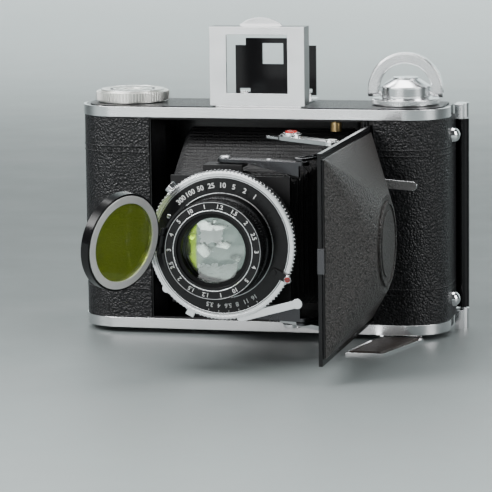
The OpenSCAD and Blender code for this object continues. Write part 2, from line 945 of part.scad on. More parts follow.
module foot_hinge() {
    color("#c9ccd0") {
        for (x = [42, 52]) difference() {
            block([x, front_y + 1.8, ground_z + 0.1], [x + 4, front_y + 3.4, 0]);
            translate([x - 1, front_y + 2.5, ground_z + 0.75]) rotate([0, 90, 0]) cylinder(r = 0.35, h = 6);
        }
        translate([42, front_y + 2.5, ground_z + 0.75]) rotate([0, 90, 0]) cylinder(r = 0.35, h = 14);
    }
}

body_shell();
chrome_rims();
top_leather();
left_leather();
right_leather();
base_leather();
film_gate_frame();
back_hinge_lugs();
back_hinge_pin();
door_hinge_pin();
tripod_socket();
strap_studs();
spool_retainer();
brass_roller();
finder_base();
bellows();
back_cover();
back_leather();
pressure_plate();
window_cover();
back_latch();
door_panel();
door_leather();
door_disc();
door_brackets();
door_catch();
release_lever();
stays();
fold_button();
side_links();
struts();
front_standard();
shutter_housing();
shutter_face();
speed_ring();
aperture_lever();
cocking_lever();
self_timer_lever();
cable_socket();
shutter_blades();
lens_barrels();
rear_element();
focus_ring();
name_ring();
front_element();
filter_clip();
filter_ring();
filter_retainer();
filter_glass();
finder_front_frame();
finder_rear_plate();
wind_knob();
wind_bail();
take_up_spool();
supply_spool();
film_roll();
film_dial();
foot_plate();
foot_leather();
foot_hinge();
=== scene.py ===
"""Looks of the folding camera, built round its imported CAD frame."""
import math

import bmesh
import bpy
from mathutils import Matrix, Vector


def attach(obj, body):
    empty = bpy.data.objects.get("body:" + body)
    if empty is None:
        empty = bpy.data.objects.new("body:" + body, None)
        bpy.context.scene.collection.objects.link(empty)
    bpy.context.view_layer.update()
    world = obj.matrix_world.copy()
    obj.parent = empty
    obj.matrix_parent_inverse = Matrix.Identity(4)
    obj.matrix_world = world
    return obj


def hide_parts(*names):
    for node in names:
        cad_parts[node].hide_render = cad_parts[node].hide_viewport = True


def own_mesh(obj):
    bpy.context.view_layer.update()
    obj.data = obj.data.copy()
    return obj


MM = 0.001
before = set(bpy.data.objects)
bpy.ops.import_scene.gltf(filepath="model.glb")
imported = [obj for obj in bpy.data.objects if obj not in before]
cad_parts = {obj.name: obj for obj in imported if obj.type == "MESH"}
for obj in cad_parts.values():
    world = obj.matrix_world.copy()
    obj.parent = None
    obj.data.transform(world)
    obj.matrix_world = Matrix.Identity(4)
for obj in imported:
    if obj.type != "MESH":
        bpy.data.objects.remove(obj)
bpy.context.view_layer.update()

# Driving sizes, in millimetres, repeated from the CAD
LENS_Z = 37.0  # height of the lens axis
FACE_Y = -66.0  # face of the shutter
RING_Y = -78.0  # front of the focusing cell
PLATE_Y = -54.0  # plate of the front standard
GATE_Y = 9.4  # picture gate
BODY_H = 76.0
SIDE_X = 64.0  # each end of the body
CORNER_R = 14.0  # its rounded corners
FRONT_Y = -17.0  # front of the body
SPOOL_X = 48.0  # axes of the spools, and of the dial and knob above them
SPOOL_Y = 1.0
DOOR_X = 37.2  # hinge line of the door
DOOR_Y = -16.2
GROUND_Z = -1.8


# ---- Materials ----

def material(name, color, metallic=0.0, roughness=0.5, **sockets):
    """A Principled material; further sockets go by their names with underscores."""
    mat = bpy.data.materials.new(name)
    mat.use_nodes = True
    shader = mat.node_tree.nodes["Principled BSDF"]
    shader.inputs["Base Color"].default_value = (*color, 1)
    shader.inputs["Metallic"].default_value = metallic
    shader.inputs["Roughness"].default_value = roughness
    for key, value in sockets.items():
        shader.inputs[key.replace("_", " ")].default_value = value
    return mat


def node(mat, kind, **values):
    """Adds a shader node and sets its properties or inputs."""
    made = mat.node_tree.nodes.new(kind)
    for key, value in values.items():
        if hasattr(made, key):
            setattr(made, key, value)
        else:
            made.inputs[key.replace("_", " ")].default_value = value
    return made


def join(mat, source, output, target, socket):
    """Links one node's output to another's input."""
    mat.node_tree.links.new(source.outputs[output], target.inputs[socket])


def vary_roughness(mat, scale, low, high):
    """Smudges: a soft noise that drives the roughness between two values."""
    place = node(mat, "ShaderNodeTexCoord")
    noise = node(mat, "ShaderNodeTexNoise", Scale=scale, Detail=4.0)
    spread = node(mat, "ShaderNodeMapRange", To_Min=low, To_Max=high)
    join(mat, place, "Object", noise, "Vector")
    join(mat, noise, "Fac", spread, "Value")
    join(mat, spread, "Result", mat.node_tree.nodes["Principled BSDF"], "Roughness")


def soften_edges(mat, radius, grain=0.0):
    """Rounds hard edges in shading, over an optional fine grain."""
    grain_scale, grain_depth = 4000.0, 0.05
    shader = mat.node_tree.nodes["Principled BSDF"]
    bevel = node(mat, "ShaderNodeBevel", samples=4, Radius=radius * MM)
    if grain:
        place = node(mat, "ShaderNodeTexCoord")
        noise = node(mat, "ShaderNodeTexNoise", Scale=grain_scale, Detail=3.0)
        bump = node(mat, "ShaderNodeBump", Strength=grain, Distance=grain_depth * MM)
        join(mat, place, "Object", noise, "Vector")
        join(mat, noise, "Fac", bump, "Height")
        join(mat, bevel, "Normal", bump, "Normal")
        join(mat, bump, "Normal", shader, "Normal")
    else:
        join(mat, bevel, "Normal", shader, "Normal")


def metal(name, color, low, high, edge=0.18, grain=0.0):
    """Worn metal: smudges between two roughnesses, and soft edges."""
    smudge_scale = 160.0
    mat = material(name, color, metallic=1.0, roughness=low)
    vary_roughness(mat, smudge_scale, low, high)
    soften_edges(mat, edge, grain)
    return mat


def leather(name, color, pebble, depth, shine):
    """Pebbled leather: round pebbles with creases between them, and painted light on the pebbles: each
    is painted lighter at its middle and darker towards its creases.
    """
    wander, fine_share = 0.0009, 0.18
    mat = material(name, color, roughness=shine, Specular_IOR_Level=0.38)
    shader = mat.node_tree.nodes["Principled BSDF"]
    place = node(mat, "ShaderNodeTexCoord")
    bend = node(mat, "ShaderNodeTexNoise", Scale=pebble * 0.7, Detail=3.0)
    mix = node(mat, "ShaderNodeMix", data_type="RGBA", blend_type="ADD")
    mix.inputs[0].default_value = wander
    cells = node(mat, "ShaderNodeTexVoronoi", Scale=pebble)
    fine = node(mat, "ShaderNodeTexNoise", Scale=pebble * 3, Detail=6.0)
    total = node(mat, "ShaderNodeMath", operation="MULTIPLY_ADD")
    total.inputs[1].default_value = fine_share
    bump = node(mat, "ShaderNodeBump", Strength=1.0, Distance=depth * MM)
    bump.invert = True
    join(mat, place, "Object", bend, "Vector")
    join(mat, place, "Object", mix, 6)
    join(mat, bend, "Color", mix, 7)
    join(mat, mix, 2, cells, "Vector")
    join(mat, place, "Object", fine, "Vector")
    join(mat, fine, "Fac", total, 0)
    join(mat, cells, "Distance", total, 2)
    join(mat, total, "Value", bump, "Height")
    join(mat, bump, "Normal", shader, "Normal")
    # Painted highlight and shade: each pebble is painted up to 2.2 times as light at its middle and down
    # to 0.3 times towards its edges
    tone = node(mat, "ShaderNodeMapRange", From_Max=0.8, To_Min=2.2, To_Max=0.3)
    pebble_painted_light = node(mat, "ShaderNodeMix", data_type="RGBA", blend_type="MULTIPLY")
    pebble_painted_light.inputs[0].default_value = 1.0
    pebble_painted_light.inputs[6].default_value = (*color, 1)
    join(mat, cells, "Distance", tone, "Value")
    join(mat, tone, "Result", pebble_painted_light, 7)
    join(mat, pebble_painted_light, 2, shader, "Base Color")
    return mat


def front_only(mat, color):
    """Keeps a metal finish on faces that look forwards and paints the rest."""
    forwards = -0.6
    shader = mat.node_tree.nodes["Principled BSDF"]
    place = node(mat, "ShaderNodeTexCoord")
    split = node(mat, "ShaderNodeSeparateXYZ")
    front = node(mat, "ShaderNodeMath", operation="LESS_THAN")
    front.inputs[1].default_value = forwards
    tone = node(mat, "ShaderNodeMix", data_type="RGBA")
    tone.inputs[6].default_value = (*color, 1)
    tone.inputs[7].default_value = shader.inputs["Base Color"].default_value
    join(mat, place, "Normal", split, "Vector")
    join(mat, split, "Y", front, 0)
    join(mat, front, "Value", tone, 0)
    join(mat, tone, 2, shader, "Base Color")
    join(mat, front, "Value", shader, "Metallic")


def lens_group(name, color, flare):
    """Inner glass seen through the front one: broken reflections, and a tinted reflection painted on at
    the left.
    """
    cell_scale, facet_depth = 170.0, 1.1
    painted_reflection_from, painted_reflection_full = -5.6, -6.4
    mat = material(name, color, metallic=1.0, roughness=0.12)
    shader = mat.node_tree.nodes["Principled BSDF"]
    place = node(mat, "ShaderNodeTexCoord")
    cells = node(mat, "ShaderNodeTexVoronoi", Scale=cell_scale)
    bump = node(mat, "ShaderNodeBump", Strength=0.7, Distance=facet_depth * MM)
    join(mat, place, "Object", cells, "Vector")
    join(mat, cells, "Distance", bump, "Height")
    join(mat, bump, "Normal", shader, "Normal")
    # Painted reflection: the part left of the axis takes the flare colour
    split = node(mat, "ShaderNodeSeparateXYZ")
    side = node(mat, "ShaderNodeMapRange", From_Min=painted_reflection_from * MM, From_Max=painted_reflection_full * MM)
    tone = node(mat, "ShaderNodeMix", data_type="RGBA")
    tone.inputs[6].default_value = (*color, 1)
    tone.inputs[7].default_value = (*flare, 1)
    join(mat, place, "Object", split, "Vector")
    join(mat, split, "X", side, "Value")
    join(mat, side, "Result", tone, 0)
    join(mat, tone, 2, shader, "Base Color")
    return mat


CHROME = metal("satin_chrome", (0.93, 0.94, 0.95), 0.12, 0.24)
BRIGHT = metal("bright_chrome", (0.92, 0.93, 0.94), 0.05, 0.13)
BAIL_CHROME = metal("bail_chrome", (0.80, 0.81, 0.82), 0.12, 0.22, edge=1.1)
FRAME_PAINT = metal("finder_front", (0.94, 0.95, 0.96), 0.16, 0.26)
front_only(FRAME_PAINT, (0.012, 0.012, 0.013))
KNURLED = metal("knurled_nickel", (0.93, 0.93, 0.89), 0.3, 0.42, grain=0.3)
STEEL = metal("steel", (0.56, 0.57, 0.58), 0.22, 0.36)
BRASS = metal("worn_brass", (0.60, 0.44, 0.20), 0.22, 0.42)
ENAMEL = material("black_enamel", (0.004, 0.004, 0.0045), roughness=0.2, Specular_IOR_Level=0.3)
soften_edges(ENAMEL, 0.15)
MATTE = material("matte_black", (0.006, 0.006, 0.0065), roughness=0.5, Specular_IOR_Level=0.3)
soften_edges(MATTE, 0.12)
INSIDE = material("inside_black", (0.004, 0.004, 0.0045), roughness=0.6, Specular_IOR_Level=0.2)
LEATHER = leather("black_leather", (0.0065, 0.0065, 0.0075), 1350.0, 0.34, 0.36)
DOOR_LEATHER = leather("door_leather", (0.034, 0.0315, 0.030), 1500.0, 0.34, 0.34)
FOOT_LEATHER = leather("brown_leather", (0.020, 0.013, 0.010), 1300.0, 0.3, 0.45)
BELLOWS = leather("bellows_cloth", (0.0035, 0.0035, 0.004), 1800.0, 0.2, 0.52)
RED = material("red_lacquer", (0.50, 0.018, 0.014), roughness=0.22, Coat_Weight=0.8)
WHITE = material("white_filling", (0.74, 0.75, 0.74), roughness=0.5)
# Black filling of the printed ticks and numbers, and also painted shade in grooves, behind knurls and in
# screw slots
BLACK_INK_AND_PAINTED_SHADE = material("black_ink_and_painted_shade", (0.02, 0.02, 0.022), roughness=0.5)
PLASTIC = material("dark_plastic", (0.02, 0.02, 0.022), roughness=0.4)
PAPER = material("backing_paper", (0.30, 0.05, 0.035), roughness=0.75)
LENS = material("lens_glass", (0.93, 0.98, 0.96), roughness=0.0, IOR=1.52, Transmission_Weight=1.0)
GROUP = lens_group("coated_group", (0.36, 0.39, 0.37), (0.42, 0.60, 0.03))
BLUED = metal("blued_steel", (0.085, 0.085, 0.09), 0.2, 0.32)
DULL = metal("dull_silver", (0.92, 0.92, 0.90), 0.42, 0.55)
FILTER = material("filter_glass", (0.33, 0.42, 0.055), roughness=0.04, IOR=1.5, Transmission_Weight=0.8)

NODE_MATERIALS = {
    "chrome_rims": CHROME, "back_hinge_lugs": CHROME, "strap_studs": BRIGHT,
    "spool_retainer": CHROME, "finder_base": CHROME, "finder_front_frame": FRAME_PAINT,
    "finder_rear_plate": ENAMEL, "stays": CHROME, "speed_ring": CHROME, "focus_ring": ENAMEL,
    "aperture_lever": BRIGHT, "cocking_lever": BRIGHT, "self_timer_lever": ENAMEL,
    "cable_socket": BRIGHT, "filter_retainer": DULL, "wind_knob": CHROME, "wind_bail": BAIL_CHROME,
    "film_dial": KNURLED, "foot_plate": BRIGHT, "foot_hinge": CHROME, "release_lever": BRIGHT,
    "back_hinge_pin": STEEL, "door_hinge_pin": STEEL, "tripod_socket": STEEL, "door_catch": BLUED,
    "shutter_blades": STEEL, "brass_roller": BRASS, "back_latch": BRASS,
    "top_leather": LEATHER, "left_leather": LEATHER, "right_leather": LEATHER,
    "base_leather": LEATHER, "back_leather": LEATHER, "door_leather": DOOR_LEATHER,
    "door_disc": DOOR_LEATHER, "foot_leather": FOOT_LEATHER, "bellows": BELLOWS,
    "lens_barrels": INSIDE, "fold_button": RED, "window_cover": PLASTIC,
    "take_up_spool": PLASTIC, "supply_spool": PLASTIC, "film_roll": PAPER,
    "front_element": LENS, "rear_element": LENS, "filter_glass": FILTER,
    "film_gate_frame": MATTE, "pressure_plate": MATTE, "side_links": BLUED,
    "front_standard": MATTE, "struts": BLUED, "door_brackets": ENAMEL,
}


def dress(name, mat):
    """Gives one CAD node its material in place of the one it came with."""
    obj = bpy.data.objects[name]
    obj.data.materials.clear()
    obj.data.materials.append(mat)


# ---- Building pieces ----

def new_piece(name, body, mat, verts, faces, slot_name=None):
    """A mesh piece that rides on a CAD body; its points are in millimetres."""
    mesh = bpy.data.meshes.new(name)
    mesh.from_pydata([Vector(v) * MM for v in verts], [], faces)
    mesh.validate()
    obj = bpy.data.objects.new(name, mesh)
    bpy.context.collection.objects.link(obj)
    mesh.materials.append(mat)
    outward = bmesh.new()
    outward.from_mesh(mesh)
    bmesh.ops.recalc_face_normals(outward, faces=outward.faces)
    outward.to_mesh(mesh)
    outward.free()
    if body:
        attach(obj, body)
    return obj


def lens_point(r, angle, y):
    """A point at a radius and an angle round the lens axis."""
    a = math.radians(angle)
    return (r * math.cos(a), y, LENS_Z + r * math.sin(a))


def upright_point(x, y):
    """Returns a function that gives points round an upright axis at x, y."""
    def point(r, angle, z):
        a = math.radians(angle)
        return (x + r * math.cos(a), y + r * math.sin(a), z)
    return point


def box_faces(first):
    """The six faces of a box whose eight points start at first, one end after the other."""
    a, b, c, d, e, f, g, h = range(first, first + 8)
    return [(a, b, c, d), (e, h, g, f), (a, e, f, b), (b, f, g, c), (c, g, h, d), (d, h, e, a)]


def ribs(name, body, mat, point, r0, r1, low, high, count, share, slot_name):
    """Knurling: a ring of fine ribs with peaked tops; share is how much of the round they fill."""
    verts, faces = [], []
    half = 180 / count * share
    for i in range(count):
        a = 360 * i / count
        f = len(verts)
        for z in (low, high):
            verts += [point(r0, a - half, z), point(r1, a, z), point(r0, a + half, z)]
        faces += [(f, f + 2, f + 1), (f + 3, f + 4, f + 5), (f, f + 1, f + 4, f + 3),
                  (f + 1, f + 2, f + 5, f + 4), (f + 2, f, f + 3, f + 5)]
    return new_piece(name, body, mat, verts, faces, slot_name)


def ring(name, body, mat, point, r0, r1, low, high, slot_name, steps=96):
    """A plain ring with a square section."""
    verts, faces = [], []
    for i in range(steps):
        a = 360 * i / steps
        verts += [point(r0, a, low), point(r1, a, low), point(r1, a, high), point(r0, a, high)]
    for i in range(steps):
        p, q = 4 * i, 4 * ((i + 1) % steps)
        faces += [(p + k, q + k, q + (k + 1) % 4, p + (k + 1) % 4) for k in range(4)]
    return new_piece(name, body, mat, verts, faces, slot_name)


def dish(name, body, mat, point, r, y, sag, slot_name, rows=10, steps=64):
    """A thin bulging disc seen from the front, its middle forward by sag."""
    thickness, hole = 0.3, 0.02
    verts, faces = [], []
    for back in (0.0, thickness):
        for k in range(rows + 1):
            reach = r * (k + hole) / (rows + hole)
            bulge = sag * (1 - (reach / r) ** 2)
            for i in range(steps):
                verts.append(point(reach, 360 * i / steps, y + back - bulge))
    half = (rows + 1) * steps
    for side in (0, half):
        for k in range(rows):
            for i in range(steps):
                j = (i + 1) % steps
                p, q = side + k * steps, side + (k + 1) * steps
                faces.append((p + i, p + j, q + j, q + i))
        faces.append(tuple(side + i for i in range(steps)))
    edge = rows * steps
    for i in range(steps):
        j = (i + 1) % steps
        faces.append((edge + i, edge + j, half + edge + j, half + edge + i))
    obj = new_piece(name, body, mat, verts, faces, slot_name)
    for poly in obj.data.polygons:
        poly.use_smooth = True
    return obj


def ticks(name, body, mat, point, marks, low, high, slot_name):
    """Thin marks round a ring, each given as angle, inner radius, outer radius and width."""
    verts, faces = [], []
    for angle, r0, r1, width in marks:
        first = len(verts)
        for z in (low, high):
            for r, side in ((r0, -1), (r1, -1), (r1, 1), (r0, 1)):
                verts.append(point(r, angle + side * math.degrees(width / 2 / r), z))
        faces += box_faces(first)
    return new_piece(name, body, mat, verts, faces, slot_name)


def numerals(name, body, mat, words, place, size, slot_name):
    """Small raised numbers: each word is put by place(index), a matrix in metres."""
    height, weight = 0.02, 0.035
    made = []
    for i, word in enumerate(words):
        curve = bpy.data.curves.new(f"{name}_{i}", "FONT")
        curve.body = word
        curve.size = size * MM
        curve.align_x = "CENTER"
        curve.align_y = "CENTER"
        curve.extrude = height * MM
        curve.offset = weight * MM
        text = bpy.data.objects.new(f"{name}_{i}", curve)
        bpy.context.collection.objects.link(text)
        text.matrix_world = place(i)
        made.append(text)
    bpy.context.view_layer.update()
    verts, faces = [], []
    depsgraph = bpy.context.evaluated_depsgraph_get()
    for text in made:
        mesh = text.evaluated_get(depsgraph).to_mesh()
        first = len(verts)
        verts += [tuple((text.matrix_world @ v.co) / MM) for v in mesh.vertices]
        faces += [tuple(first + k for k in p.vertices) for p in mesh.polygons]
        text.evaluated_get(depsgraph).to_mesh_clear()
    for text in made:
        bpy.data.objects.remove(text)
    return new_piece(name, body, mat, verts, faces, slot_name)


def on_face(r, y, start, step):
    """Places numbers round the lens so that they read from the front, tops outwards."""
    def place(i):
        angle = start + step * i
        a = math.radians(angle)
        turn = Matrix.Rotation(math.radians(90), 4, "X")
        spin = Matrix.Rotation(a - math.pi / 2, 4, "Z")
        at = Matrix.Translation(Vector(lens_point(r, angle, y)) * MM)
        return at @ turn @ spin
    return place


def screw(name, body, mat, at, out, r, slot_name="satin_chrome"):
    """A small slotted screw head standing on a face that looks along out."""
    turn = Vector(out).to_track_quat("Z", "Y").to_matrix()
    steps = 24
    verts, faces = [], []
    for radius, height in ((r, 0.0), (r, 0.25 * r), (r * 0.8, 0.45 * r)):
        for i in range(steps):
            a = 2 * math.pi * i / steps
            rim = Vector((radius * math.cos(a), radius * math.sin(a), height))
            verts.append(Vector(at) + turn @ rim)
    for k in range(2):
        for i in range(steps):
            j = (i + 1) % steps
            p, q = k * steps, (k + 1) * steps
            faces.append((p + i, p + j, q + j, q + i))
    faces.append(tuple(range(2 * steps, 3 * steps)))
    faces.append(tuple(reversed(range(steps))))
    new_piece(name, body, mat, verts, faces, slot_name)
    # The slot is a black block in the head: painted shade where the slot's recess would be
    reach, width = 0.8 * r, 0.12 * r
    floor, top = 0.3 * r, 0.47 * r
    cut = [Vector(at) + turn @ Vector(p) for z in (floor, top)
           for p in ((-reach, -width, z), (reach, -width, z), (reach, width, z), (-reach, width, z))]
    new_piece(name + "_slot", body, BLACK_INK_AND_PAINTED_SHADE, cut, box_faces(0), slot_name)


# ---- Bellows ----

def pleat_section(half_x, half_z, cut, y):
    """An octagon round the lens axis: a rectangle with its corners cut."""
    x, z, c = half_x, half_z, cut
    corners = [(x - c, -z), (x, c - z), (x, z - c), (x - c, z),
               (c - x, z), (-x, z - c), (-x, c - z), (c - x, -z)]
    return [(u, y, LENS_Z + v) for u, v in corners]


def make_bellows():
    """Pleated bellows that stands for the plain CAD one."""
    pleats, depth, cloth, sides = 15, 2.6, 0.5, 8
    crest = (0.42, 0.62)
    stops = []
    for p in range(pleats):
        stops += [(p, depth)] + [(p + share, 0.0) for share in crest]
    stops.append((pleats, depth))
    rings = len(stops)
    front_y, back_y = PLATE_Y + 1.5, GATE_Y
    front_x, back_x = 20, 31
    front_z, back_z = 21, 30
    corner_cut, valley_cut = 2.2, 0.7
    verts, faces = [], []
    for shrink in (0.0, cloth):
        for along, inset in stops:
            t = along / pleats
            y = front_y + (back_y - front_y) * t
            half_x = front_x + (back_x - front_x) * t - inset - shrink
            half_z = front_z + (back_z - front_z) * t - inset - shrink
            verts += pleat_section(half_x, half_z, corner_cut + inset * valley_cut, y)
    inner = rings * sides
    for layer in (0, inner):
        for i in range(rings - 1):
            for k in range(sides):
                p = layer + sides * i + k
                q = layer + sides * i + (k + 1) % sides
                faces.append((p, q, q + sides, p + sides))
    for i in (0, rings - 1):
        for k in range(sides):
            p, q = sides * i + k, sides * i + (k + 1) % sides
            faces.append((p, q, q + inner, p + inner))
    obj = new_piece("pleated_bellows", "body", BELLOWS, verts, faces, "bellows_leather")
    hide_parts("bellows")
    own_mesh(obj)


# ---- Body details ----

def body_outline(inset, x_front, y_back, right):
    """Points along one end of the body, from the front face round the corner to the end."""
    side, steps = (1 if right else -1), 12
    r = CORNER_R - inset
    centre = (side * (SIDE_X - CORNER_R), FRONT_Y + CORNER_R)
    pts = [(side * x_front, FRONT_Y + inset)]
    for i in range(steps + 1):
        a = math.radians(-90 + 90 * i / steps)
        pts.append((centre[0] + side * r * math.cos(a), centre[1] + r * math.sin(a)))
    pts.append((side * (SIDE_X - inset), y_back))
    return pts


def welt(name, x_front, y_back, right, z):
    """An embossed line in the end leather: a low rounded bead that follows the body."""
    root, crown = 0.45, 0.12
    verts, faces = [], []
    outer, inner = (body_outline(inset, x_front, y_back, right) for inset in (0.08, 0.4))
    for (xo, yo), (xi, yi) in zip(outer, inner):
        verts += [(xi, yi, z - root), (xo, yo, z - crown), (xo, yo, z + crown), (xi, yi, z + root)]
    for i in range(len(outer) - 1):
        p = 4 * i
        faces += [(p + k, p + 4 + k, p + 5 + k, p + 1 + k) for k in range(3)]
        faces.append((p, p + 3, p + 7, p + 4))
    faces += [(0, 1, 2, 3), tuple(4 * (len(outer) - 1) + k for k in (3, 2, 1, 0))]
    return new_piece(name, "body", LEATHER, verts, faces, "leather")


def make_body_details():
    """Two pairs of welts in each end's leather, and the screws of the finder and the base."""
    from_end = (15.4, 13.4)
    levels = [BODY_H - d for d in from_end] + sorted(from_end)
    for hand, right, x_front, y_back in (("l", False, 38.4, -3.0), ("r", True, 41.2, 9.0)):
        for z in levels:
            welt(f"welt_{hand}_{int(z)}", x_front, y_back, right, z)
    for hand, x in (("l", -12.5), ("r", 12.5)):
        screw(f"finder_screw_{hand}", "body", BRIGHT, (x, 4, BODY_H + 0.85), (0, 0, 1), 1.2)
    screw("base_screw", "body", BRIGHT, (-24, -7, -0.4), (0, 0, -1), 2.0)


# ---- Top fittings ----

def make_top_details():
    """Knurls, rings, ticks and numbers of the film dial and the winding knob."""
    dial = upright_point(-SPOOL_X, SPOOL_Y)
    knob = upright_point(SPOOL_X, SPOOL_Y)
    dial_top = BODY_H + 4.7

    # Each line gives an inner and an outer radius, then two heights above the body
    def on_top(make, name, body, mat, point, r0, r1, low, high, *more):
        make(name, body, mat, point, r0, r1, BODY_H + low, BODY_H + high, *more, "satin_chrome")

    # Painted shade: the dial's shade ring is black behind the knurl's ribs, and its groove ring is a
    # thin black ring on the dial's top
    on_top(ring, "dial_shade", "dial", BLACK_INK_AND_PAINTED_SHADE, dial, 11.8, 12.12, 1.2, 3.8)
    on_top(ribs, "dial_knurl", "dial", KNURLED, dial, 11.95, 12.6, 1.1, 4.0, 72, 0.72)
    on_top(ribs, "knob_knurl", "knob", CHROME, knob, 11.15, 11.6, 1.0, 2.4, 90, 0.9)
    on_top(ring, "knob_band", "knob", BRIGHT, knob, 8.3, 8.55, 3.2, 3.6)
    on_top(ring, "knob_shoulder", "knob", BRIGHT, knob, 8.3, 8.55, 6.2, 6.6)
    on_top(ring, "dial_groove", "dial", BLACK_INK_AND_PAINTED_SHADE, dial, 6.9, 7.8, 4.66, 4.72)
    on_top(ring, "dial_edge", "dial", BRIGHT, dial, 10.7, 11.0, 4.68, 4.8)

    marks = [(angle, 8.3, 9.2, 0.25) for angle in range(15, 360, 30)]
    ticks("dial_ticks", "dial", BLACK_INK_AND_PAINTED_SHADE, dial, marks, BODY_H + 4.66, BODY_H + 4.73, "satin_chrome")

    def place(i):
        at = Matrix.Translation(Vector(dial(5.3, 90 - 30 * i, dial_top)) * MM)
        return at @ Matrix.Rotation(math.radians(-30 * i), 4, "Z")
    exposures = [str(n + 1) for n in range(12)]
    numerals("dial_numbers", "dial", BLACK_INK_AND_PAINTED_SHADE, exposures, place, 2.0, "satin_chrome")


# ---- Shutter and lens details ----

def make_lens_details():
    """Rings, knurls, scales and small screws of the shutter and the focusing cell."""
    # Each line gives an inner and an outer radius, a face, and how far behind it the piece
    # starts and ends, where minus is in front
    def behind(make, name, body, mat, r0, r1, face, start, end, *more):
        make(name, body, mat, lens_point, r0, r1, face + start, face + end, *more)

    # Painted shade: the speed ring's shade ring is black behind its knurl, and its groove ring is a thin
    # black line on its face
    behind(ring, "speed_shade", "speed", BLACK_INK_AND_PAINTED_SHADE, 23.7, 24.04, FACE_Y, 0.35, 2.95, "satin_chrome")
    behind(ribs, "speed_knurl", "speed", CHROME, 23.9, 24.5, FACE_Y, 0.2, 3.0, 120, 0.72, "satin_chrome")
    behind(ring, "speed_edge", "speed", BRIGHT, 23.1, 23.75, FACE_Y, -0.62, -0.38, "satin_chrome")
    behind(ring, "speed_groove", "speed", BLACK_INK_AND_PAINTED_SHADE, 22.3, 22.55, FACE_Y, -0.5, -0.38, "satin_chrome")
    behind(ring, "face_ring", "standard", STEEL, 17.0, 17.25, FACE_Y, -0.7, -0.58, "satin_chrome")
    behind(ribs, "focus_knurl", "focus", ENAMEL, 15.95, 16.3, RING_Y, 2.6, 4.8, 100, 0.9, "enamel")
    behind(ring, "name_edge", "focus", STEEL, 15.55, 15.72, RING_Y, -0.06, 0.02, "satin_chrome")
    behind(ring, "glass_edge", "focus", BRIGHT, 12.9, 13.15, RING_Y, -0.08, 0.02, "satin_chrome")
    behind(ring, "glass_seat", "focus", INSIDE, 10.6, 11.9, RING_Y, 0.78, 0.88, "enamel")
    behind(ring, "inner_baffle", "standard", INSIDE, 10.0, 10.9, RING_Y, 4.1, 7.5, "black_alloy")
    dish("inner_group", "standard", GROUP, lens_point, 10.8, RING_Y + 6.0, 1.6, "lens_glass")

    speeds = ["300", "100", "50", "25", "10", "5", "2", "1"]
    stops = ["3.5", "4", "5.6", "8", "11", "16"]
    metres = ["1", "1.2", "1.5", "2", "2.5", "3", "4", "5", "10"] * 2
    face_r, face_y = 19.6, FACE_Y - 0.63
    at_speed = on_face(face_r, face_y, 132, -11)
    at_stop = on_face(face_r, face_y, 258, 9)
    at_metre = on_face(14.35, RING_Y - 0.02, 100, -20)
    numerals("speed_numbers", "standard", WHITE, speeds, at_speed, 2.3, "enamel")
    numerals("stop_numbers", "standard", WHITE, stops, at_stop, 2.0, "enamel")
    marks = [(angle, 21.2, 21.7, 0.16) for angle in range(258, 304, 9)]
    ticks("face_ticks", "standard", WHITE, lens_point, marks, FACE_Y - 0.66, FACE_Y - 0.6, "enamel")
    numerals("distance_numbers", "focus", WHITE, metres, at_metre, 1.9, "enamel")

    front = (0, -1, 0)
    timer_angle = -25
    pivot = lens_point(19.2, timer_angle, FACE_Y - 1.7)
    rim = lens_point(24.4, timer_angle, FACE_Y - 1.7)
    dot = lens_point(24.4, timer_angle, FACE_Y - 2.1)
    screw("speed_screw", "standard", BRIGHT, lens_point(face_r, 152, FACE_Y - 0.6), front, 0.7)
    screw("timer_pivot", "timer", STEEL, pivot, front, 0.6)
    screw("timer_rim", "timer", BRIGHT, rim, front, 1.35)
    screw("timer_dot", "timer", RED, dot, front, 0.95, "red_plastic")


def make_strut_details():
    """Steel rivet heads on the struts, above and mirrored below the lens axis."""
    strut_reach = 26.2
    for part, side in (("top", 1), ("low", -1)):
        z = LENS_Z + side * strut_reach
        rivet, stud = (-3, PLATE_Y + 6, z), (12.5, PLATE_Y + 2.6, z)
        screw(f"strut_rivet_{part}", "strut_pair", STEEL, rivet, (0, 0, side), 1.9)
        screw(f"strut_stud_{part}", "strut_pair", STEEL, stud, (0, 0, side), 0.9)


# ---- Door details ----

def on_door(a, b, z):
    """A point on the door: a from the hinge to the free edge, b outwards."""
    return (DOOR_X + b, DOOR_Y - a, z)


def make_door_details():
    """Screws of the door's brackets, and a raised line just inside its edge."""
    for z in (7.0, 68.0):
        for a in (24.0, 27.5):
            name = f"bracket_screw_{int(z)}_{int(a)}"
            screw(name, "door", STEEL, on_door(a, 0.1, z), (-1, 0, 0), 0.8, "enamel")
    near, far, low, high = 3.2, 78.2, 6.2, 69.0
    corners = [(near, low, 1, 1), (far, low, -1, 1), (far, high, -1, -1), (near, high, 1, -1)]
    verts, faces = [], []
    for inset, out in ((0, 2.3), (0.5, 2.75), (1.0, 2.3)):
        verts += [on_door(a + along * inset, out, z + up * inset) for a, z, along, up in corners]
    for k in range(2):
        for i in range(4):
            j = (i + 1) % 4
            faces.append((4 * k + i, 4 * k + j, 4 * k + 4 + j, 4 * k + 4 + i))
    for i in range(4):
        j = (i + 1) % 4
        faces.append((i, 8 + i, 8 + j, j))
    new_piece("door_welt", "door", ENAMEL, verts, faces, "enamel")


# ---- Stage ----

# Painted light on the sweep: depth along it in metres, and how light it is painted there
SWEEP_PAINTED_LIGHT = [(-0.25, 0.31), (-0.13, 0.215), (0.0, 0.125), (0.08, 0.10), (0.23, 0.08),
               (0.42, 0.10), (0.69, 0.20), (1.07, 0.54), (1.3, 0.82)]
# The depths at the two ends of that ramp
SWEEP_NEAR = -0.3
SWEEP_FAR = 1.3


